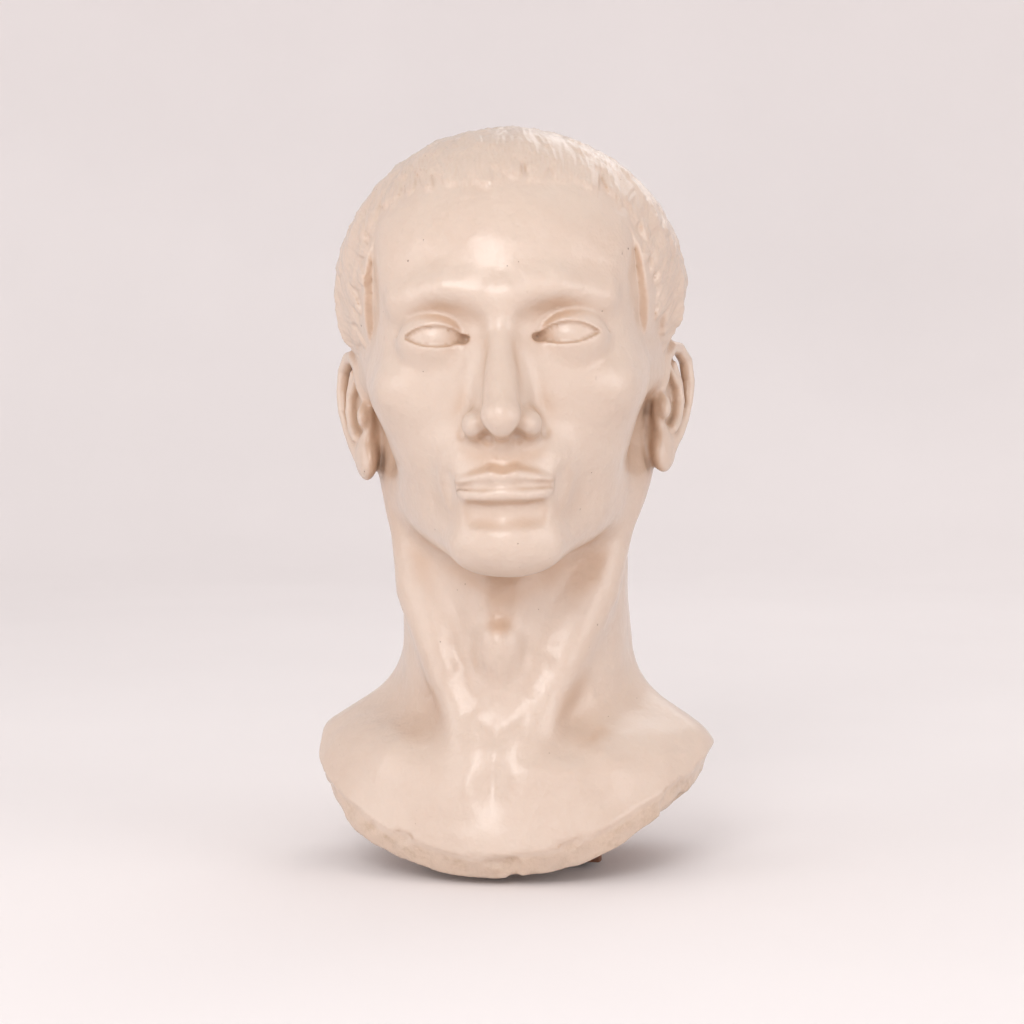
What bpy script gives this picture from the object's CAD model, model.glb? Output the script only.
import bpy
import numpy as np
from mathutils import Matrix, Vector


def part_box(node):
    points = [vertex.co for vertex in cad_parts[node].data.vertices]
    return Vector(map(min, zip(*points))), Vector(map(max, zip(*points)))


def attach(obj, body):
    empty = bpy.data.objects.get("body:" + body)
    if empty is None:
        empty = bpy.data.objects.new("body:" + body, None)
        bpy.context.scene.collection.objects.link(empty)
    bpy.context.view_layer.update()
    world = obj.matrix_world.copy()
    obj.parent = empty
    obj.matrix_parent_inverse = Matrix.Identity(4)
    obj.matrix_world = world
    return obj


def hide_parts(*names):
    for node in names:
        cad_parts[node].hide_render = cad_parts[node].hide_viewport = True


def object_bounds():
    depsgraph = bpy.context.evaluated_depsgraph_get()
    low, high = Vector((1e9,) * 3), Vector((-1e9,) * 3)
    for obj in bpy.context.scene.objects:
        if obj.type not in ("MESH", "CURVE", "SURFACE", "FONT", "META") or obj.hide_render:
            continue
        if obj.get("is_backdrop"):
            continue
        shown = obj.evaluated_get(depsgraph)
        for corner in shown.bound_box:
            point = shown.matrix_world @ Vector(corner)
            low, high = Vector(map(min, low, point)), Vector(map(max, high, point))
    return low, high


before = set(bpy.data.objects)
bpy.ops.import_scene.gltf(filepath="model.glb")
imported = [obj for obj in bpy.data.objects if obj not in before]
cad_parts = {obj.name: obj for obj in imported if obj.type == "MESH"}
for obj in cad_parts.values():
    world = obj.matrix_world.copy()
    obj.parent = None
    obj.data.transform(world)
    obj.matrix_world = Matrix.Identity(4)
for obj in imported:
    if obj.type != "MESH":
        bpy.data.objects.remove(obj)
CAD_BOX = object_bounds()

import openvdb
from mathutils import Vector

# ---------------------------------------------------------------- driving dimensions
# Forms are worked out in millimetres in the bust's own frame: the neck stands round x = y = 0, the
# table is z = 0 and the face looks along -Y. SHIFT moves that frame into the row frame.
STAND_Y = 4                          # the foot, rod and pillar are centred here
rod_low, rod_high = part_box("threaded_rod")
rod_middle = (rod_low + rod_high) / 2 * 1000
SHIFT = np.array([rod_middle.x, rod_middle.y - STAND_Y, 0])

VOXEL = 1.0                          # the bust's mesh size
BUST_BOX = (-115, -140, 0), (115, 115, 378)
CREASE_REACH, SHELTER_REACH = 1.6, 30  # a crease or a sheltered place has other stone this near
CHIN_AT = (0, -8, 145)               # the head's own frame has its origin under the chin
HEAD_PIVOT = (0, 0, 70)              # and turns about this point of itself
HEAD_TURNS = (("Z", -3), ("Y", -1.8), ("X", -5))
MOUTH_Z, NOSE_Z, EYE_Z, BROW_Z = 43, 65, 113.5, 132
EYE_X = 31.5
# the hairline: degrees round from the front, height above the chin
HAIRLINE = [(0, 187), (20, 187), (40, 185), (50, 179), (57, 160), (63, 140), (70, 128), (76, 116),
            (80, 106), (84, 104), (88, 116), (94, 124), (104, 125), (112, 119), (118, 104), (124, 84),
            (134, 66), (150, 50), (180, 42)]
HAIR_EDGE, HAIR_DEEP = 0.4, 4.2      # thickness at the hairline, and more of it further in
EAR_AT, EAR_LEAN, EAR_FLARE = (74, 2, 85), -8, -22

BODY_TURN = -8                       # degrees about Z: neck and breast look a little aside
SHOULDER_Z, HALF_WIDTH, DROP = 60, 101, 56.5
RIM_X, RIM_TILT = 2.5, 0.04          # the cut's middle lies a little to one side, where it rises too
RIM_POWER = 1.75                     # 2 would make the cut edge a true ellipse
RIM_INSET, RIM_DEPTH = 12, 8         # the cut edge slants by this much over this depth
BACK_Y, BACK_SLANT = 46, 20
TORSO_C, TORSO_R = (0, 5, 0), (124, 89, 92)
BED_Z, WALL = 34, 19
PILLAR_X, PILLAR_Y, PILLAR_TOP, PILLAR_CORNER = 44, 41, 84, 12
ROD_HOLE_R, ROD_HOLE_TOP = 9, 114


# ---------------------------------------------------------------- solids as distances
# A form is a distance field in millimetres, below 0 inside; a point is a list of three arrays.
F = np.float32


def ball(p, c, r):
    """An ellipsoid."""
    a = [(p[i] - F(c[i])) / F(r[i]) for i in range(3)]
    k0 = np.sqrt(a[0] ** 2 + a[1] ** 2 + a[2] ** 2) + F(1e-6)
    k1 = np.sqrt((a[0] / F(r[0])) ** 2 + (a[1] / F(r[1])) ** 2 + (a[2] / F(r[2])) ** 2) + F(1e-6)
    return k0 * (k0 - 1) / k1


def rod(p, a, b, ra, rb):
    """A cone with round ends, from a to b."""
    ab = [b[i] - a[i] for i in range(3)]
    n = sum(v * v for v in ab)
    t = np.clip(sum((p[i] - F(a[i])) * F(ab[i]) for i in range(3)) / F(n), 0, 1)
    d = np.sqrt(sum((p[i] - F(a[i]) - t * F(ab[i])) ** 2 for i in range(3)))
    return d - (F(ra) + t * F(rb - ra))


def chain(p, points, radii):
    """Rods end to end."""
    rods = [rod(p, points[i], points[i + 1], radii[i], radii[i + 1]) for i in range(len(points) - 1)]
    return np.minimum.reduce(rods)


def block(p, half, corner):
    """A box round the origin with round edges."""
    d = [np.abs(p[i]) - F(half[i] - corner) for i in range(3)]
    past = np.sqrt(sum(np.maximum(v, 0) ** 2 for v in d))
    return past + np.minimum(np.maximum.reduce(d), 0) - F(corner)


def disc(p, radius, half_height, edge):
    """A cylinder round Z with round edges."""
    d = [np.sqrt(p[0] ** 2 + p[1] ** 2) - F(radius - edge), np.abs(p[2]) - F(half_height - edge)]
    past = np.sqrt(sum(np.maximum(v, 0) ** 2 for v in d))
    return past + np.minimum(np.maximum(d[0], d[1]), 0) - F(edge)


def join(a, b, k):
    """Union, smoothed over k millimetres."""
    h = np.clip(0.5 + 0.5 * (b - a) / k, 0, 1)
    return b + (a - b) * h - k * h * (1 - h)


def carve(a, b, k):
    """a with b cut out of it, smoothed over k millimetres."""
    return -join(-a, b, k)


def trim(a, b, k):
    """What a and b share, the edge between them rounded over k millimetres."""
    return -join(-a, -b, k)


def step(x, low, high):
    t = np.clip((x - F(low)) / F(high - low), 0, 1)
    return t * t * (3 - 2 * t)


def noise(p, size, seed):
    """Smooth noise from -1 to 1, its bumps about size across."""
    table = np.random.default_rng(seed).uniform(-1, 1, 4096).astype(F)
    cells, blend = [], []
    for v in p:
        v = v / F(size) + F(200)
        whole = np.floor(v)
        cells.append(whole.astype(np.int64))
        blend.append((v - whole) ** 2 * (3 - 2 * (v - whole)))
    out = 0
    for corner in range(8):
        at, weight = 0, F(1)
        for axis, prime in enumerate((73856093, 19349663, 83492791)):
            far = (corner >> axis) & 1
            at = at ^ ((cells[axis] + far) * prime)
            weight = weight * (blend[axis] if far else 1 - blend[axis])
        out = out + table[at & 4095] * weight
    return out


def turn_about(axis, angle):
    """A turn by angle degrees about X, Y or Z."""
    c, s = np.cos(np.radians(angle)), np.sin(np.radians(angle))
    m = np.eye(3)
    i, j = [(1, 2), (2, 0), (0, 1)]["XYZ".index(axis)]
    m[i, i], m[i, j], m[j, i], m[j, j] = c, -s, s, c
    return m


def turned(p, m):
    return [sum(F(m[i][j]) * p[j] for j in range(3)) for i in range(3)]


def moved(p, at):
    return [p[i] - F(at[i]) for i in range(3)]


def mirrored(q):
    return [np.sqrt(q[0] * q[0] + F(0.6)), q[1], q[2]]


# ---------------------------------------------------------------- head
HEAD_TURN = np.linalg.multi_dot([turn_about(axis, angle) for axis, angle in HEAD_TURNS])


def to_head(p):
    q = turned(moved(p, [CHIN_AT[i] + HEAD_PIVOT[i] for i in range(3)]), HEAD_TURN.T)
    return moved(q, [-v for v in HEAD_PIVOT])


def skull(q):
    back = ball(q, (0, 18, 138), (83, 77, 74))
    front = ball(q, (0, -27, 145), (73, 70, 68))
    return join(join(back, front, 20), ball(q, (0, 0, 145), (73, 72, 68)), 20)


def inside_hair(q):
    """Millimetres inside (+) or outside (-) the hairline."""
    turn = np.degrees(np.arctan2(q[0], -q[1]))
    at, line = [h[0] for h in HAIRLINE], [h[1] for h in HAIRLINE]
    slope = (np.interp(turn + 3, at, line) - np.interp(turn - 3, at, line)) / (6 * 1.35)
    return ((q[2] - np.interp(turn, at, line)) / np.sqrt(1 + slope ** 2)).astype(F)


def face(q):
    f = ball(q, (0, -34, 92), (63, 60, 78))
    f = join(f, rod(q, (46, -8, 42), (15, -78, 17), 15, 13), 18)            # jaw
    f = join(f, ball(q, (0, -80, 17), (21, 19.5, 17)), 10)                  # chin
    f = join(f, ball(q, (44, -56, 92), (19, 22, 15)), 18)                   # cheekbone
    f = join(f, rod(q, (56, -38, 98), (68, -2, 100), 9, 7), 16)             # its arch
    f = join(f, ball(q, (0, -79, MOUTH_Z + 5), (29, 22, 25)), 14)           # muzzle
    return join(f, ball(q, (56, 14, 70), (14, 20, 36)), 14)                 # behind the jaw


def nose(f, q):
    side = chain(q, [(0, -84, 127), (0, -88, 100), (0, -95, NOSE_Z + 9)], [8, 11, 14])
    ridge = chain(q, [(0, -90.5, 130), (0, -95.5, 114), (0, -104, 93), (0, -110.5, NOSE_Z + 12)],
                  [7.5, 6, 7, 8.2])
    n = join(side, ridge, 6)
    n = join(n, ball(q, (0, -112, NOSE_Z + 9.5), (8.6, 8.2, 8)), 3)                       # tip
    n = join(n, ball(q, (12.6, -99.5, NOSE_Z + 6.5), (6.4, 10, 7)), 4)                    # wing
    n = join(n, rod(q, (0, -112, NOSE_Z + 4), (0, -100, NOSE_Z + 0.5), 3.8, 4), 4)        # middle wall
    f = join(f, n, 7)
    crease = chain(q, [(15.5, -104, 82), (20.2, -98, 77), (20.5, -92.5, 68)], [0.8, 1.3, 1.2])
    f = carve(f, crease, 3.5)
    return carve(f, ball(q, (7.2, -105.0, NOSE_Z - 0.6), (3.2, 5.6, 3.4)), 2.2)            # nostril


def eye(f, q):
    arch = [(5, -90.5, BROW_Z + 1), (26, -89.5, BROW_Z + 4), (47, -75, BROW_Z + 1)]
    brow = chain(q, arch, [8, 7.5, 5])
    f = join(f, brow, 11)
    f = carve(f, ball(q, (82, -50, 140), (15, 26, 24)), 20)                 # temple
    f = carve(f, ball(q, (31, -101.5, EYE_Z + 4), (19, 17, 11)), 9)         # socket
    c = (EYE_X, -77.5, EYE_Z)
    lids = ball(q, c, (18.5, 15.4, 15))
    f = join(f, lids, np.where(q[2] > EYE_Z + 2, F(2.2), F(5)))
    # the opening between the lids, its outer corner a little higher
    ex, ez = q[0] - F(EYE_X), q[2] - F(EYE_Z)
    ex, ez = ex + F(0.05) * ez, ez - F(0.05) * ex
    upper = np.sqrt(ex ** 2 + (ez + F(17.0)) ** 2) - F(22.6)
    lower = np.sqrt(ex ** 2 + (ez - F(22.5)) ** 2) - F(26.6)
    f = carve(f, np.maximum(np.maximum(upper, lower), q[1] + F(77)), 1.6)
    f = carve(f, ball(q, (EYE_X - 14.0, -87.6, EYE_Z - 1.0), (2.4, 2.6, 1.4)), 2.6)    # inner corner
    return join(f, ball(q, c, (16.6, 12.9, 13.2)), 1.0)


def mouth(f, q):
    z = MOUTH_Z
    above = [(0, -100.4, z + 3.4), (5.5, -100.8, z + 4.7), (15, -97.6, z + 3.0), (25, -91, z + 0.6)]
    upper = chain(q, above, [3.5, 3.8, 3.0, 1.2])
    below = [(0, -99.2, z - 5.0), (9, -98.5, z - 5.2), (16.5, -95.4, z - 3.8), (23, -91.4, z - 1)]
    lower = chain(q, below, [4.7, 4.5, 3.4, 1.2])
    f = join(join(f, upper, 3), lower, 4)
    line = chain(q, [(0, -105.2, z + 0.3), (6, -104.8, z - 0.2), (15, -100.5, z), (23, -94.5, z),
                     (26.5, -91.2, z - 0.4)], [1.0, 1.0, 1.0, 0.9, 0.8])
    f = carve(f, line, 2.4)
    f = carve(f, rod(q, (0, -106.0, 60), (0, -106.6, 52), 2.6, 2.4), 4)      # groove above the lip
    f = carve(f, chain(q, [(0, -103, 29), (15, -97, 30)], [5.2, 3.4]), 6)    # below the lip
    return carve(f, ball(q, (29.5, -88.0, 42), (3.5, 4, 6)), 8)                            # corner


def ear(q, side):
    """The ear at +X for side 1, at -X for side -1; q isn't mirrored."""
    place = turn_about("X", EAR_LEAN) @ turn_about("Z", EAR_FLARE)
    u = turned(moved([q[0] * side, q[1], q[2]], EAR_AT), place.T)            # outward, back, up
    e = ball(u, (0.5, 8, 2), (5.0, 16, 27))
    e = join(e, ball(u, (0, 2, -25), (4.6, 9, 10)), 6)                       # lobe
    e = join(e, ball(u, (-7, 6, -4), (8, 9, 22)), 6)                         # root
    e = carve(e, ball(u, (8.5, 6, 3), (7.5, 12.5, 21)), 3)                   # bowl
    e = carve(e, ball(u, (6, 3, -4), (6.5, 6, 8)), 3)                        # its deeper front
    inner = chain(u, [(4.5, 8, 21), (4.8, 13, 12), (5, 14.5, 3), (4.5, 12, -6), (4, 7, -12)],
                  [2.2, 2.8, 3.0, 2.8, 2.6])
    inner = np.minimum(inner, rod(u, (4.8, 13, 10), (4.2, 3, 19), 2.6, 1.8))
    outer = chain(u, [(2, -4, 4), (4, -3, 12), (5, -3, 22), (5.5, 4, 29), (6, 13, 30), (6.5, 21, 25),
                      (6.5, 24, 15), (6, 23, 4), (5, 19, -6), (4, 13, -15), (3, 8, -21)],
                  [2.2, 2.8, 3.2, 3.4, 3.4, 3.4, 3.2, 3.0, 2.8, 2.6, 2.6])
    e = join(join(e, inner, 2), outer, 2)
    return join(e, ball(u, (4, -4.5, -3), (3.0, 3.4, 5.5)), 3)               # flap before the bowl


def head(p):
    q = to_head(p)
    m = mirrored(q)
    bone = skull(m)
    f = join(bone, face(m), 16)
    f = mouth(eye(nose(f, m), m), m)
    deep = inside_hair(m)
    hair = F(HAIR_EDGE) * step(deep, -2, 3) + F(HAIR_DEEP) * step(deep, 0, 26)
    below = 0.7 * (1 - step(deep, -2, 1)) + 4 * (1 - step(deep, -16, -12))
    f = join(f, bone - hair + below - lock_height(q), 0.9)
    for side in (1, -1):
        f = join(f, ear(q, side), 3)
    return f


# ---------------------------------------------------------------- hair
# Short carved locks, combed away from the crown and forward. They are drawn once into a flat map of
# the scalp, whose middle is the crown, and the map is then read back round the skull.
SCALP_MIDDLE = (0, 8, 140)
CROWN_LEAN = 23                      # degrees back from straight up
SCALP_RADIUS = 88
MAP_HALF, MAP_STEP = 215, 0.5
LOCK_LENGTH, LOCK_WIDTH, LOCK_RISE = 32, 9.0, 2.5
ROW_STEP, FIRST_ROW = 10.0, 5
CROWN_UP = turn_about("X", -CROWN_LEAN) @ (0, 0, 1)
CROWN_FRONT = turn_about("X", -CROWN_LEAN) @ (0, -1, 0)


def on_skull(polar, turn):
    """Where the scalp lies, for an angle from the crown and one round it from the front."""
    d = np.outer(np.cos(polar), CROWN_UP) + np.outer(np.sin(polar) * np.cos(turn), CROWN_FRONT)
    d[:, 0] += np.sin(polar) * np.sin(turn)
    low, high = np.full(len(d), 30.0), np.full(len(d), 150.0)
    for _ in range(18):
        middle = (low + high) / 2
        q = (np.array(SCALP_MIDDLE) + d * middle[:, None]).astype(F).T
        outside = skull(mirrored(list(q))) > 0
        high = np.where(outside, middle, high)
        low = np.where(outside, low, middle)
    return list((np.array(SCALP_MIDDLE) + d * low[:, None]).astype(F).T)


def place_locks(rng):
    """Each lock's distance from the crown, turn round it, heading, bend, length, width and rise."""
    locks = []
    row, distance = 0, FIRST_ROW
    while distance < MAP_HALF - 8:
        ring = 2 * np.pi * SCALP_RADIUS * np.sin(distance / SCALP_RADIUS)
        count = max(5, int(round(ring / (LOCK_WIDTH * 0.86))))
        for i in range(count):
            turn = 2 * np.pi * (i + 0.5 * (row % 2) + rng.uniform(-0.2, 0.2)) / count
            turn = (turn + np.pi) % (2 * np.pi) - np.pi
            away = distance + rng.uniform(-0.3, 0.3) * ROW_STEP
            whorl = 65 * np.exp(-distance / 32)
            heading = np.radians(whorl - 30 * np.sin(turn) + rng.normal(0, 11))
            bend = rng.uniform(-0.014, 0.014)
            length = LOCK_LENGTH * rng.uniform(0.7, 1.2)
            width = LOCK_WIDTH * rng.uniform(0.75, 1.25)
            rise = rng.uniform(0.65, 1.15)
            locks.append((away, turn, heading, bend, length, width, rise))
        distance += ROW_STEP
        row += 1
    return np.array(locks)


def draw_locks(locks):
    """The flat map: each lock is a comma with three strands, rising from root to tip."""
    n = int(2 * MAP_HALF / MAP_STEP) + 1
    sheet = np.zeros((n, n), F)
    for away, turn, heading, bend, length, width, rise in locks:
        # across the rings the flat map is stretched, so its window is wider there
        stretch = np.clip(away / SCALP_RADIUS / max(np.sin(away / SCALP_RADIUS), 0.05), 1, 3.2)
        reach = int(24 / MAP_STEP * stretch)
        iu = int(round((away * np.sin(turn) + MAP_HALF) / MAP_STEP))
        iv = int(round((away * np.cos(turn) + MAP_HALF) / MAP_STEP))
        u0, u1, v0, v1 = max(iu - reach, 0), min(iu + reach, n), max(iv - reach, 0), min(iv + reach, n)
        if u1 <= u0 or v1 <= v0:
            continue
        gu = (np.arange(u0, u1) * MAP_STEP - MAP_HALF)[:, None]
        gv = (np.arange(v0, v1) * MAP_STEP - MAP_HALF)[None, :]
        radius = np.sqrt(gu ** 2 + gv ** 2) + 1e-3
        dturn = (np.arctan2(gu, gv) - turn + np.pi) % (2 * np.pi) - np.pi
        out = radius - away
        around = dturn * SCALP_RADIUS * np.sin(np.minimum(radius, 200) / SCALP_RADIUS)
        along = out * np.cos(heading) + around * np.sin(heading)
        across = -out * np.sin(heading) + around * np.cos(heading) - bend * along ** 2
        s = along / length + 0.5
        point = np.sqrt(np.clip(1 - (np.clip(s - 0.42, 0, None) / 0.58) ** 2.2, 0, 1))
        half = width / 2 * point * np.clip(0.72 + 0.7 * s, 0, 1)
        a = across / np.maximum(half, 0.01)
        dome = np.sqrt(np.clip(1 - a ** 2, 0, 1))
        groove = 0.5 + 0.5 * np.cos(3 * np.pi * a + np.pi)
        tip = 1 - np.clip((s - 0.78) / 0.22, 0, 1) ** 2
        climb = 0.3 + 0.7 * np.clip(s, 0, 1) ** 0.8
        height = LOCK_RISE * rise * climb * (0.3 + 0.7 * dome) * (0.15 + 0.85 * tip)
        height = height - 0.7 * groove * dome * np.clip(s * 3, 0, 1)
        window = sheet[u0:u1, v0:v1]
        np.maximum(window, np.where((s > 0) & (s < 1) & (np.abs(a) < 1), height, 0), out=window)
    return sheet


def make_lock_map():
    locks = place_locks(np.random.default_rng(11))
    at = on_skull(locks[:, 0] / SCALP_RADIUS, locks[:, 1])
    return draw_locks(locks[inside_hair(mirrored(at)) > 3.5])


LOCK_MAP = make_lock_map()


def lock_height(q):
    """The lock map read at points of the head's frame."""
    d = moved(q, SCALP_MIDDLE)
    n = np.sqrt(d[0] ** 2 + d[1] ** 2 + d[2] ** 2) + F(1e-3)
    c = (d[1] * F(CROWN_UP[1]) + d[2] * F(CROWN_UP[2])) / n
    e = (d[1] * F(CROWN_FRONT[1]) + d[2] * F(CROWN_FRONT[2])) / n
    polar = np.arccos(np.clip(c, -1, 1)) * F(SCALP_RADIUS) / np.sqrt(np.maximum(1 - c * c, 1e-6))
    gu = np.clip((polar * d[0] / n + F(MAP_HALF)) / F(MAP_STEP), 0, LOCK_MAP.shape[0] - 1.001)
    gv = np.clip((polar * e + F(MAP_HALF)) / F(MAP_STEP), 0, LOCK_MAP.shape[1] - 1.001)
    iu, iv = gu.astype(np.int32), gv.astype(np.int32)
    fu, fv = gu - iu, gv - iv
    near = LOCK_MAP[iu, iv] * (1 - fu) + LOCK_MAP[iu + 1, iv] * fu
    far = LOCK_MAP[iu, iv + 1] * (1 - fu) + LOCK_MAP[iu + 1, iv + 1] * fu
    return near * (1 - fv) + far * fv


# ---------------------------------------------------------------- neck and breast
TURN_BACK = turn_about("Z", -BODY_TURN)


def neck(q):
    q = mirrored(q)
    n = rod(q, (0, 8, 98), (0, 6, 190), 58.5, 55.5)
    n = join(n, rod(q, (22, 34, 100), (16, 40, 216), 30, 30), 16)         # nape
    muscle = [(55, 6, 208), (44, -25, 140), (9, -60, 56)]                 # from the ear to the notch
    n = join(n, chain(q, muscle, [13, 12, 6.5]), 11)
    n = join(n, rod(q, (0, -43, 140), (0, -47, 64), 12, 12), 14)          # throat
    n = join(n, ball(q, (0, -55, 113), (9, 8, 12)), 8)
    return join(n, rod(q, (20, 24, 98), (84, 8, 55), 21, 12), 18)         # to the shoulder


def torso(q):
    q = mirrored(q)
    t = ball(q, TORSO_C, TORSO_R)
    t = join(t, chain(q, [(12, -61, 46), (50, -49, 55), (84, -6, 55)], [6, 7, 12]), 20)     # collarbone
    return carve(t, rod(q, (0, -78, 53), (0, -89, 42), 5, 3), 12)                           # notch


def breast(p):
    """Neck and breast as one form, before the breast is cut off."""
    q = turned(p, TURN_BACK)
    return join(neck(q), torso(q), 18)


def cut_edge(p):
    """Half of nearly an ellipse below the shoulders, smaller where it meets the front: it slants."""
    q = turned(p, TURN_BACK)
    x = q[0] - F(RIM_X)
    ex = np.abs(x) / F(HALF_WIDTH) + F(1e-4)
    ez = np.maximum(F(SHOULDER_Z) + F(RIM_TILT) * x - q[2], 0) / F(DROP) + F(1e-4)
    k = (ex ** F(RIM_POWER) + ez ** F(RIM_POWER)) ** F(1 / RIM_POWER)
    steep = np.sqrt(((ex / k) ** F(RIM_POWER - 1) / F(HALF_WIDTH)) ** 2
                    + ((ez / k) ** F(RIM_POWER - 1) / F(DROP)) ** 2)
    slant = (1 - np.clip(-torso(q) / F(RIM_DEPTH), 0, 1)) * step(ez, 0, 0.5)
    rough = 1.4 * noise(p, 24, 3) + 0.7 * noise(p, 8, 4) + 2.4 * step(noise(p, 13, 8), 0.3, 0.65)
    return (k - 1) / steep + F(RIM_INSET) * slant + rough * step(ez, 0.05, 0.3)


def cut_breast(p):
    chips = 1.0 + 4.5 * np.clip(noise(p, 9, 5) - 0.15, 0, 1)
    f = trim(breast(p), cut_edge(p), chips.astype(F))
    hollow = ball(turned(p, TURN_BACK), TORSO_C, [r - WALL for r in TORSO_R])
    f = carve(f, hollow + 0.6 * noise(p, 12, 6), 3)
    x, y, z = p
    lean = np.radians(BACK_SLANT)
    back = (y - F(BACK_Y)) * F(np.cos(lean)) - (z - F(BED_Z)) * F(np.sin(lean))
    f = trim(f, back + 0.4 * noise(p, 9, 7), 1.2)
    corner = [np.maximum(np.abs(x) - F(PILLAR_X - PILLAR_CORNER), 0),
              np.maximum(np.abs(y - F(STAND_Y)) - F(PILLAR_Y - PILLAR_CORNER), 0)]
    pillar = np.sqrt(corner[0] ** 2 + corner[1] ** 2) - F(PILLAR_CORNER)
    f = join(f, np.maximum(np.maximum(pillar, z - F(PILLAR_TOP)), F(BED_Z) - z), 4)
    bore = np.sqrt(x ** 2 + (y - F(STAND_Y)) ** 2) - F(ROD_HOLE_R)
    return np.maximum(f, -np.maximum(bore, z - F(ROD_HOLE_TOP)))


def whole_bust(p):
    return join(head(p), cut_breast(p), 12)


# ---------------------------------------------------------------- meshes from fields
def mesh_of(form, low, high, voxel):
    """The surface of form as points and quads. Values far from it are only sampled coarsely."""
    ratio, near_cells, batch = 6, 1.6, 4000
    coarse = ratio * voxel
    low = np.array(low, F)
    n = np.ceil((np.array(high, F) - low) / coarse).astype(int) + 1
    middle = 0.5 * (ratio - 1) * voxel
    lines = [(low[i] + coarse * np.arange(n[i]) + middle).astype(F) for i in range(3)]
    cells = form([v.ravel() for v in np.meshgrid(*lines, indexing="ij")]).reshape(n)
    fine = cells.repeat(ratio, 0).repeat(ratio, 1).repeat(ratio, 2).astype(F)
    near = np.argwhere(np.abs(cells) < coarse * near_cells)
    inner = np.stack(np.meshgrid(*[np.arange(ratio)] * 3, indexing="ij"), -1).reshape(-1, 3)
    for start in range(0, len(near), batch):
        ijk = (near[start:start + batch, None, :] * ratio + inner[None]).reshape(-1, 3)
        p = low + ijk.astype(F) * F(voxel)
        fine[ijk[:, 0], ijk[:, 1], ijk[:, 2]] = form([p[:, 0], p[:, 1], p[:, 2]])
    grid = openvdb.FloatGrid()
    grid.copyFromArray(fine)
    points, quads = grid.convertToQuads(0.0)
    return low + np.asarray(points, F) * F(voxel), np.asarray(quads)


def piece(name, points, quads, node, look):
    """A smooth mesh object in a CAD node's place; points are in millimetres of the bust's frame."""
    mesh = bpy.data.meshes.new(name)
    mesh.vertices.add(len(points))
    mesh.vertices.foreach_set("co", ((points + SHIFT) / 1000).astype(F).ravel())
    mesh.loops.add(quads.size)
    mesh.loops.foreach_set("vertex_index", quads.ravel().astype(np.int32))
    mesh.polygons.add(len(quads))
    mesh.polygons.foreach_set("loop_start", np.arange(0, quads.size, 4))
    mesh.polygons.foreach_set("use_smooth", np.ones(len(quads), bool))
    mesh.update()
    mesh.validate()
    mesh.materials.append(look)
    made = bpy.data.objects.new(name, mesh)
    bpy.context.scene.collection.objects.link(made)
    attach(made, "root")
    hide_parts(node)
    return made


def vertex_arrays(mesh):
    """The mesh's points in millimetres of the bust's frame, and its normals, each as three arrays."""
    n = len(mesh.vertices)
    points, normals = np.empty(n * 3, F), np.empty(n * 3, F)
    mesh.vertices.foreach_get("co", points)
    mesh.vertices.foreach_get("normal", normals)
    points = points.reshape(n, 3) * 1000 - SHIFT
    return list(points.astype(F).T), list(normals.reshape(n, 3).T)


def store(mesh, name, values):
    mesh.attributes.new(name, "FLOAT", "POINT").data.foreach_set("value", values.astype(F))


def push_out(mesh, amount):
    """Moves each vertex along its normal by amount millimetres."""
    points, normals = vertex_arrays(mesh)
    out = np.stack([points[i] + normals[i] * amount + SHIFT[i] for i in range(3)], 1) / 1000
    mesh.vertices.foreach_set("co", out.astype(F).ravel())
    mesh.update()


# ---------------------------------------------------------------- materials
class Look:
    """A material in the making. A value or a socket fills each input."""

    def __init__(self, name):
        self.material = bpy.data.materials.new(name)
        self.material.use_nodes = True
        self.tree = self.material.node_tree
        self.shader = self.tree.nodes["Principled BSDF"]
        place = self.tree.nodes.new("ShaderNodeTexCoord").outputs["Object"]
        self.mm = self.add("ShaderNodeVectorMath", {"Vector": place, "Scale": 1000}, operation="SCALE")

    def fill(self, socket, value):
        if isinstance(value, bpy.types.NodeSocket):
            self.tree.links.new(value, socket)
        else:
            socket.default_value = value

    def add(self, kind, inputs=None, output=0, **settings):
        node = self.tree.nodes.new(kind)
        for key, value in settings.items():
            setattr(node, key, value)
        for key, value in (inputs or {}).items():
            self.fill(node.inputs[key], value)
        return node.outputs[output]

    def stretched(self, x, y, z):
        return self.add("ShaderNodeVectorMath", {0: self.mm, 1: (x, y, z)}, operation="MULTIPLY")

    def noise(self, size, detail=3, rough=0.55, at=None, warp=0):
        inputs = {"Vector": at or self.mm, "Scale": 1 / size, "Detail": detail, "Roughness": rough,
                  "Distortion": warp}
        return self.add("ShaderNodeTexNoise", inputs)

    def spread(self, value, low, high, to_low=0.0, to_high=1.0):
        return self.add("ShaderNodeMapRange", {0: value, 1: low, 2: high, 3: to_low, 4: to_high})

    def math(self, operation, a, b=0.0):
        return self.add("ShaderNodeMath", {0: a, 1: b}, operation=operation)

    def mix(self, share, a, b):
        def colour(c):
            return c if isinstance(c, bpy.types.NodeSocket) else (*c, 1)
        return self.add("ShaderNodeMix", {0: share, 6: colour(a), 7: colour(b)}, 2, data_type="RGBA")

    def attribute(self, name):
        return self.add("ShaderNodeAttribute", output="Fac", attribute_name=name)

    def bump(self, height, millimetres, below=None):
        inputs = {"Height": height, "Distance": millimetres / 1000, "Strength": 1.0}
        if below:
            inputs["Normal"] = below
        return self.add("ShaderNodeBump", inputs)

    def finish(self, colour, roughness, normal, **constants):
        self.fill(self.shader.inputs["Base Color"], colour)
        self.fill(self.shader.inputs["Roughness"], roughness)
        self.fill(self.shader.inputs["Normal"], normal)
        for key, value in constants.items():
            self.shader.inputs[key.replace("_", " ")].default_value = value
        return self.material


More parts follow.
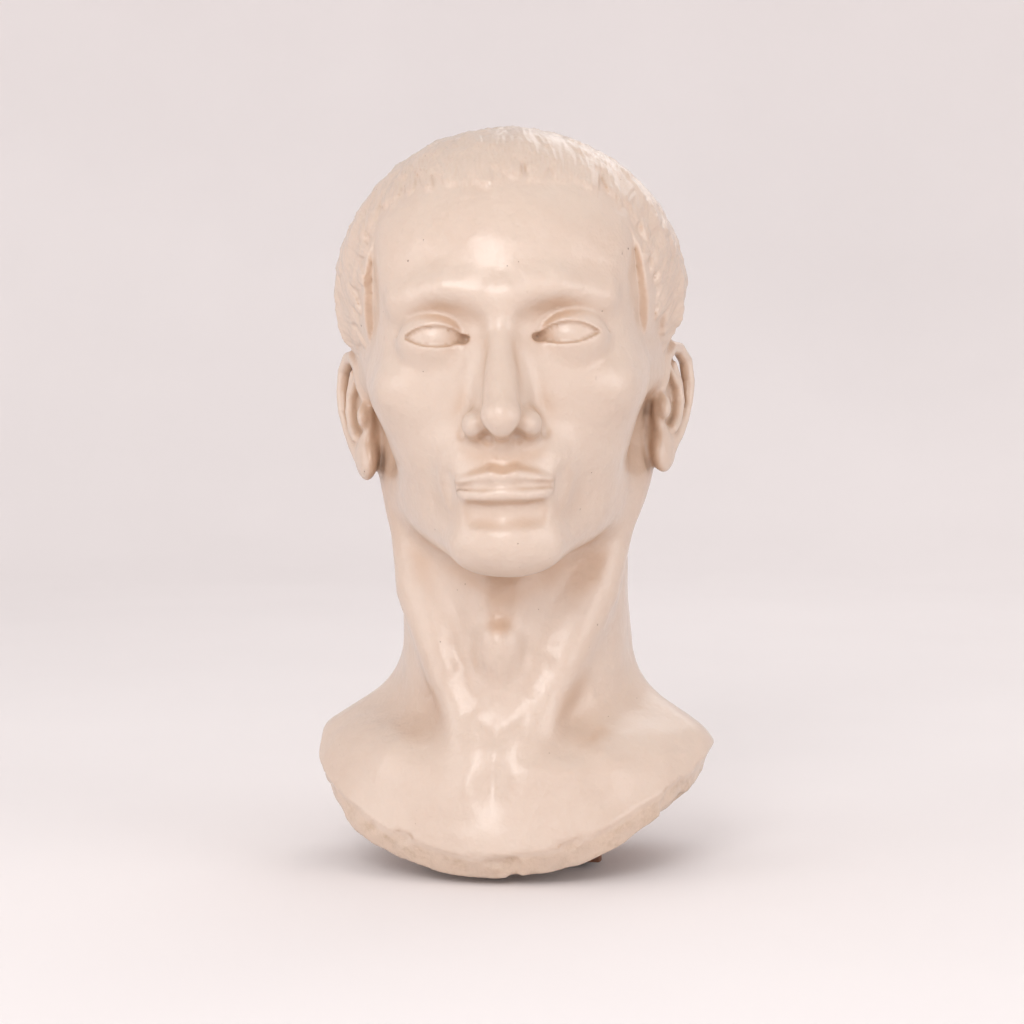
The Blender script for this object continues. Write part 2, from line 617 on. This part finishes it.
def specks(look, size, radius, share):
    """Small round dots, 1 in their middles: one cell in every few of size has one."""
    cell = {"Vector": look.mm, "Scale": 1 / size, "Randomness": 1.0}
    distance = look.add("ShaderNodeTexVoronoi", cell, "Distance")
    kind = look.add("ShaderNodeTexVoronoi", cell, "Color")
    chosen = look.math("LESS_THAN", look.add("ShaderNodeSeparateColor", {0: kind}), share)
    dot = look.spread(distance, radius / size, 0.4 * radius / size)
    return look.math("MULTIPLY", dot, chosen)


def painted_stone():
    look = Look("painted_stone")
    hollow, rim, hair = look.attribute("hollow"), look.attribute("rim"), look.attribute("hair")
    cloud = look.spread(look.noise(55, 2), 0.35, 0.65)
    paint = look.mix(cloud, (0.612, 0.488, 0.402), (0.580, 0.450, 0.364))
    paint = look.mix(look.spread(look.noise(9, 2), 0.3, 0.8, 0, 0.3), paint, (0.640, 0.528, 0.445))
    shelter = look.math("MULTIPLY", look.attribute("shelter"), 0.65)
    paint = look.mix(shelter, paint, (0.50, 0.315, 0.200))
    paint = look.mix(look.math("MULTIPLY", hollow, 0.5), paint, (0.42, 0.26, 0.165))
    stain = look.spread(look.noise(9, 5, 0.7), 0.48, 0.72)
    bare = look.mix(stain, (0.66, 0.51, 0.40), (0.47, 0.33, 0.22))
    bare_share = look.math("MULTIPLY", rim, look.spread(look.noise(14, 4), 0.3, 0.6, 0.15, 0.8))
    colour = look.mix(bare_share, paint, bare)
    dots = specks(look, 13, 0.72, 0.15)
    small_dots = specks(look, 5, 0.32, 0.09)
    dirt = look.math("MAXIMUM", dots, small_dots)
    scratch_at = look.stretched(1, 0.3, 0.22)
    scratch = look.spread(look.noise(2.2, 3, 0.5, scratch_at, 1.5), 0.735, 0.775)
    scratch = look.math("MULTIPLY", scratch, look.spread(look.noise(38, 2), 0.52, 0.62))
    dirt = look.math("MAXIMUM", dirt, look.math("MULTIPLY", scratch, 0.7))
    patches = look.spread(look.noise(22, 3), 0.5, 0.62)
    crease = look.math("MULTIPLY", look.spread(hollow, 0.7, 1.0), patches)
    dirt = look.math("MAXIMUM", dirt, look.math("MULTIPLY", crease, 0.6))
    colour = look.mix(look.math("MULTIPLY", dirt, 0.85), colour, (0.12, 0.07, 0.05))
    rough = look.spread(look.noise(18, 3), 0.3, 0.7, 0.36, 0.54)
    rough = look.math("ADD", rough, look.math("MULTIPLY", bare_share, 0.35))
    rough = look.math("ADD", rough, look.math("MULTIPLY", dirt, 0.3))
    normal = look.bump(look.noise(14, 3), 1.5)
    normal = look.bump(look.noise(3.4, 3), 0.26, normal)
    normal = look.bump(look.noise(0.7, 2), 0.035, normal)
    grain = look.math("MULTIPLY", look.noise(1.6, 5, 0.7), rim)
    normal = look.bump(grain, 0.5, normal)
    strands = look.math("MULTIPLY", look.noise(1.4, 3, 0.6, look.stretched(1, 0.35, 0.35)), hair)
    normal = look.bump(strands, 0.25, normal)
    normal = look.bump(look.math("MULTIPLY", dirt, -1), 0.25, normal)
    return look.finish(colour, rough, normal, Coat_Weight=0.6, Coat_Roughness=0.22,
                       Subsurface_Weight=0.08, Subsurface_Scale=0.004,
                       Subsurface_Radius=(1.0, 0.6, 0.4))


def hardwood():
    look = Look("hardwood")
    grain_at = look.stretched(0.035, 1, 0.55)
    bands = look.noise(6, 3, 0.5, grain_at, 0.4)
    fibres = look.noise(0.9, 4, 0.6, grain_at)
    pores = look.spread(look.noise(0.55, 2, 0.5, look.stretched(0.06, 1, 1)), 0.62, 0.70)
    colour = look.mix(look.spread(bands, 0.38, 0.62), (0.120, 0.042, 0.019), (0.170, 0.064, 0.029))
    colour = look.mix(look.spread(fibres, 0.4, 0.7, 0, 0.45), colour, (0.062, 0.020, 0.010))
    colour = look.mix(look.math("MULTIPLY", pores, 0.6), colour, (0.025, 0.010, 0.006))
    worn = look.math("MULTIPLY", look.attribute("edge"), look.spread(look.noise(8, 4), 0.42, 0.6))
    colour = look.mix(look.math("MULTIPLY", worn, 0.7), colour, (0.30, 0.15, 0.075))
    rough = look.spread(look.noise(12, 3), 0.3, 0.7, 0.30, 0.46)
    rough = look.math("ADD", rough, look.math("MULTIPLY", worn, 0.25))
    normal = look.bump(look.math("SUBTRACT", fibres, pores), 0.10)
    normal = look.bump(look.noise(16, 2), 0.25, normal)
    return look.finish(colour, rough, normal, Coat_Weight=0.25, Coat_Roughness=0.3)


def mortar():
    look = Look("mortar")
    colour = look.mix(look.spread(look.noise(6, 4), 0.35, 0.65), (0.44, 0.40, 0.35), (0.55, 0.51, 0.45))
    sand = specks(look, 1.1, 0.35, 0.5)
    colour = look.mix(look.math("MULTIPLY", sand, 0.5), colour, (0.24, 0.20, 0.16))
    normal = look.bump(look.noise(1.2, 5, 0.7), 0.35)
    return look.finish(colour, look.spread(look.noise(3, 3), 0.3, 0.7, 0.8, 0.95), normal)


def plated_steel():
    look = Look("plated_steel")
    cloud = look.spread(look.noise(5, 4), 0.35, 0.7)
    colour = look.mix(cloud, (0.60, 0.60, 0.58), (0.50, 0.47, 0.40))
    rust = look.spread(look.noise(2.2, 5, 0.7), 0.66, 0.76)
    colour = look.mix(look.math("MULTIPLY", rust, 0.7), colour, (0.22, 0.10, 0.045))
    rough = look.math("ADD", look.spread(cloud, 0, 1, 0.28, 0.42), look.math("MULTIPLY", rust, 0.3))
    scratches = look.noise(0.5, 3, 0.6, look.stretched(1, 0.12, 0.5))
    normal = look.bump(scratches, 0.03)
    return look.finish(colour, rough, normal, Metallic=1.0)


def cast_resin():
    look = Look("cast_resin")
    cloud = look.spread(look.noise(7, 3), 0.35, 0.65)
    colour = look.mix(cloud, (0.40, 0.31, 0.18), (0.33, 0.245, 0.135))
    bubbles = specks(look, 2.2, 0.5, 0.35)
    colour = look.mix(look.math("MULTIPLY", bubbles, 0.5), colour, (0.55, 0.47, 0.33))
    rough = look.spread(look.noise(4, 3), 0.3, 0.7, 0.3, 0.5)
    normal = look.bump(look.math("MULTIPLY", bubbles, -1), 0.3)
    return look.finish(colour, rough, normal, Subsurface_Weight=0.1, Subsurface_Scale=0.002)


def felt():
    look = Look("felt")
    fibre = look.noise(0.45, 5, 0.75, None, 2.5)
    colour = look.mix(look.spread(fibre, 0.35, 0.7), (0.020, 0.018, 0.017), (0.075, 0.068, 0.062))
    lint = specks(look, 2.4, 0.22, 0.2)
    colour = look.mix(look.math("MULTIPLY", lint, 0.6), colour, (0.30, 0.26, 0.22))
    normal = look.bump(fibre, 0.35)
    normal = look.bump(look.noise(3, 3), 0.4, normal)
    rough = look.spread(fibre, 0.3, 0.7, 0.88, 1.0)
    return look.finish(colour, rough, normal, Sheen_Weight=0.4, Sheen_Roughness=0.6)


# ---------------------------------------------------------------- the bust
def add_bust():
    points, quads = mesh_of(whole_bust, *BUST_BOX, VOXEL)
    made = piece("bust", points, quads, "bust_body", painted_stone())
    mesh = made.data
    p, normal = vertex_arrays(mesh)
    q = mirrored(to_head(p))
    uncut = join(head(p), breast(p), 12)
    rim = step(-uncut, 1.0, 2.5)
    hair = step(inside_hair(q), 0, 5) * step(-np.abs(skull(q) + 5), -9, -5)
    hair = hair * step(p[2], 150, 175)
    near, far = [[p[i] + F(reach) * normal[i] for i in range(3)]
                 for reach in (CREASE_REACH, SHELTER_REACH)]
    hollow = np.clip((F(CREASE_REACH) - whole_bust(near)) / F(CREASE_REACH), 0, 1)
    store(mesh, "rim", rim)
    store(mesh, "hair", hair)
    store(mesh, "hollow", step(hollow, 0.1, 0.55))
    shelter = np.clip(1 - whole_bust(far) / F(SHELTER_REACH), 0, 1)
    store(mesh, "shelter", step(shelter, 0.15, 0.6))
    # the brush and the rasp leave the surface a little lumpy, most of all round throat and notch
    throat = step(-np.abs(p[2] - F(88)), -55, -15) * step(-p[1], 20, 45) * step(-np.abs(p[0]), -55, -20)
    lumps = (0.55 + 0.6 * throat) * noise(p, 19, 21) + (0.18 + 0.4 * throat) * noise(p, 8, 22)
    push_out(mesh, lumps * (1 - 0.6 * hair))


# ---------------------------------------------------------------- the foot and its fixings
def box_mm(node):
    """A CAD node's lowest and highest corners in millimetres of the bust's frame."""
    return [np.array(corner) * 1000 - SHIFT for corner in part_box(node)]


def add_solid(name, node, look, form, voxel):
    """A mesh of form, which gets points from the middle of the node's box, and its half size."""
    low, high = box_mm(node)
    middle, half = (low + high) / 2, (high - low) / 2
    margin = 4 * voxel
    points, quads = mesh_of(lambda p: form(p, half), -half - margin, half + margin, voxel)
    return piece(name, points + middle, quads, node, look)


def foot_form(p, half):
    f = block(p, half, 2.0) + 0.10 * noise(p, 5, 31) * step(block(p, half, 0.1), -3, 0)
    x, y, z = p
    axis = np.sqrt(x ** 2 + y ** 2)
    f = trim(f, -np.maximum(axis - F(17), z + F(half[2]) - F(16)), 0.5)
    return trim(f, F(6.5) - axis, 0.4)


def bedding_form(p, half):
    ragged = 0.8 + 0.8 * noise(p, 7, 32) + 0.35 * noise(p, 2.5, 33)
    plate = [np.maximum(np.abs(p[i]) - F(half[i] - 6), 0) for i in (0, 1)]
    outline = np.sqrt(plate[0] ** 2 + plate[1] ** 2) - F(6) + ragged
    f = trim(outline, np.abs(p[2]) - F(half[2]) + 0.1 * noise(p, 3, 34), 1.2)
    return trim(f, F(6.5) - np.sqrt(p[0] ** 2 + p[1] ** 2), 0.4)


def washer_form(p, half):
    f = disc(p, half[0], half[2], 0.5)
    return trim(f, F(6.5) - np.sqrt(p[0] ** 2 + p[1] ** 2), 0.3)


THREAD_PITCH, THREAD_DEPTH = 1.75, 0.55


def thread(p, depth):
    """How deep the thread's groove is at these points."""
    turn = np.arctan2(p[1], p[0]) / (2 * np.pi)
    wave = np.abs((p[2] / F(THREAD_PITCH) - turn) % 1 - 0.5) * 2
    return F(depth) * step(wave, 0.15, 0.95)


def nut_form(p, half):
    flats = half[1]
    sides = [np.abs(np.cos(a) * p[0] + np.sin(a) * p[1]) for a in np.radians((30, 90, 150))]
    f = np.maximum.reduce(sides) - F(flats)
    axis = np.sqrt(p[0] ** 2 + p[1] ** 2)
    chamfer = (axis - F(flats + 0.2)) * F(0.5) + (np.abs(p[2]) - F(half[2])) * F(0.86)
    f = trim(trim(f, np.abs(p[2]) - F(half[2]), 0.3), chamfer, 0.4)
    return trim(f, F(6.3) - axis - thread(p, 0.3), 0.2)


def rod_form(p, half):
    axis = np.sqrt(p[0] ** 2 + p[1] ** 2)
    f = axis - F(half[0]) + thread(p, THREAD_DEPTH)
    end = (axis - F(half[0] - 1.2) + np.abs(p[2]) - F(half[2])) * F(0.707)
    return trim(trim(f, np.abs(p[2]) - F(half[2]), 0.2), end, 0.3)


def felt_form(p, half):
    fluff = 0.10 * noise(p, 1.1, 35) + 0.08 * noise(p, 3, 36)
    return disc(p, half[0] - 0.2, half[2] - 0.15, 0.7) + fluff


def add_fixings():
    steel = plated_steel()
    foot = add_solid("foot", "foot_block", hardwood(), foot_form, 0.8)
    p, normal = vertex_arrays(foot.data)
    low, high = box_mm("foot_block")
    middle, half = (low + high) / 2, (high - low) / 2
    behind = [p[i] - F(3) * normal[i] - F(middle[i]) for i in range(3)]
    store(foot.data, "edge", step(foot_form(behind, half), -2.7, -1.6))
    add_solid("bedding", "bedding_layer", mortar(), bedding_form, 0.5)
    add_solid("rod", "threaded_rod", steel, rod_form, 0.3)
    add_solid("rod_washer", "washer", steel, washer_form, 0.4)
    add_solid("rod_nut", "hex_nut", steel, nut_form, 0.3)
    pad_look = felt()
    for i in range(4):
        add_solid(f"pad_{i + 1}", f"felt_pad_{i + 1}", pad_look, felt_form, 0.35)
    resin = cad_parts["setting_resin"].data.materials
    resin.clear()
    resin.append(cast_resin())


# ---------------------------------------------------------------- studio
STAGE_FLAT, STAGE_BEND, STAGE_TOP = 1.5, 0.9, 2.6


def add_stage():
    """A pale floor that turns up into a round wall, far enough out for any camera to stand inside."""
    bend = [(STAGE_FLAT + STAGE_BEND * np.sin(a), STAGE_BEND * (1 - np.cos(a)))
            for a in np.linspace(0, np.pi / 2, 13)]
    profile = [(0.02, 0), (0.4, 0), (0.9, 0), *bend, (STAGE_FLAT + STAGE_BEND, STAGE_TOP)]
    sides = 96
    turns = np.linspace(0, 2 * np.pi, sides, endpoint=False)
    vertices = [(r * np.cos(t), r * np.sin(t), z) for r, z in profile for t in turns]
    faces = [tuple(range(sides))]
    for row in range(len(profile) - 1):
        for i in range(sides):
            a, b = row * sides + i, row * sides + (i + 1) % sides
            faces.append((a, a + sides, b + sides, b))
    mesh = bpy.data.meshes.new("stage")
    mesh.from_pydata(vertices, [], faces)
    mesh.shade_smooth()
    look = Look("stage_paper")
    cloud = look.spread(look.noise(300, 2), 0.3, 0.7)
    colour = look.mix(cloud, (0.880, 0.835, 0.830), (0.860, 0.815, 0.810))
    mesh.materials.append(look.finish(colour, look.spread(look.noise(80, 2), 0.3, 0.7, 0.75, 0.9),
                                      look.bump(look.noise(4, 3), 0.05)))
    stage = bpy.data.objects.new("stage", mesh)
    bpy.context.scene.collection.objects.link(stage)
    stage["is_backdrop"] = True


def add_light(name, at, aim, size, power, colour):
    light = bpy.data.lights.new(name, "AREA")
    light.shape = "DISK"
    light.size = size
    light.energy = power
    light.color = colour
    lamp = bpy.data.objects.new(name, light)
    lamp.location = at
    lamp.rotation_euler = (Vector(aim) - Vector(at)).to_track_quat("-Z", "Y").to_euler()
    lamp.visible_camera = False
    bpy.context.scene.collection.objects.link(lamp)


def add_studio():
    add_stage()
    add_light("key", (-0.45, -1.5, 1.05), (0, 0, 0.25), 0.8, 9, (1.0, 1.0, 1.0))
    add_light("front", (0.1, -2.1, 0.7), (0, 0, 0.3), 1.8, 8, (1.0, 1.0, 1.0))
    add_light("side", (-1.4, -0.6, 0.5), (0, 0, 0.2), 1.2, 5, (1.0, 1.0, 1.0))
    add_light("fill", (1.5, -1.0, 0.35), (0, 0, 0.2), 1.4, 10, (1.0, 1.0, 1.0))
    add_light("back", (0.6, 1.3, 1.3), (0, 0, 0.2), 1.2, 4, (1.0, 1.0, 1.0))
    world = bpy.data.worlds.new("studio")
    bpy.context.scene.world = world
    world.use_nodes = True
    sky = world.node_tree.nodes["Background"]
    sky.inputs["Color"].default_value = (1.0, 1.0, 1.0, 1)
    sky.inputs["Strength"].default_value = 0.76
    bpy.context.scene.view_settings.view_transform = "Standard"


CAMERA_AT = (-0.001, -1.3, 0.269)    # from the bust's own axis, in metres
CAMERA_PITCH, CAMERA_LENS = 4.07, 90


def add_camera():
    camera = bpy.data.cameras.new("camera")
    camera.lens = CAMERA_LENS
    holder = bpy.data.objects.new("camera", camera)
    holder.location = Vector(CAMERA_AT) + Vector(SHIFT) / 1000
    holder.rotation_euler = (np.radians(90 - CAMERA_PITCH), 0, 0)
    bpy.context.scene.collection.objects.link(holder)
    bpy.context.scene.camera = holder


add_camera()
add_studio()
add_bust()
add_fixings()

sizes = {"cad": CAD_BOX, "visual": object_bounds()}
sizes = {key: [list(corner) for corner in box] for key, box in sizes.items()}
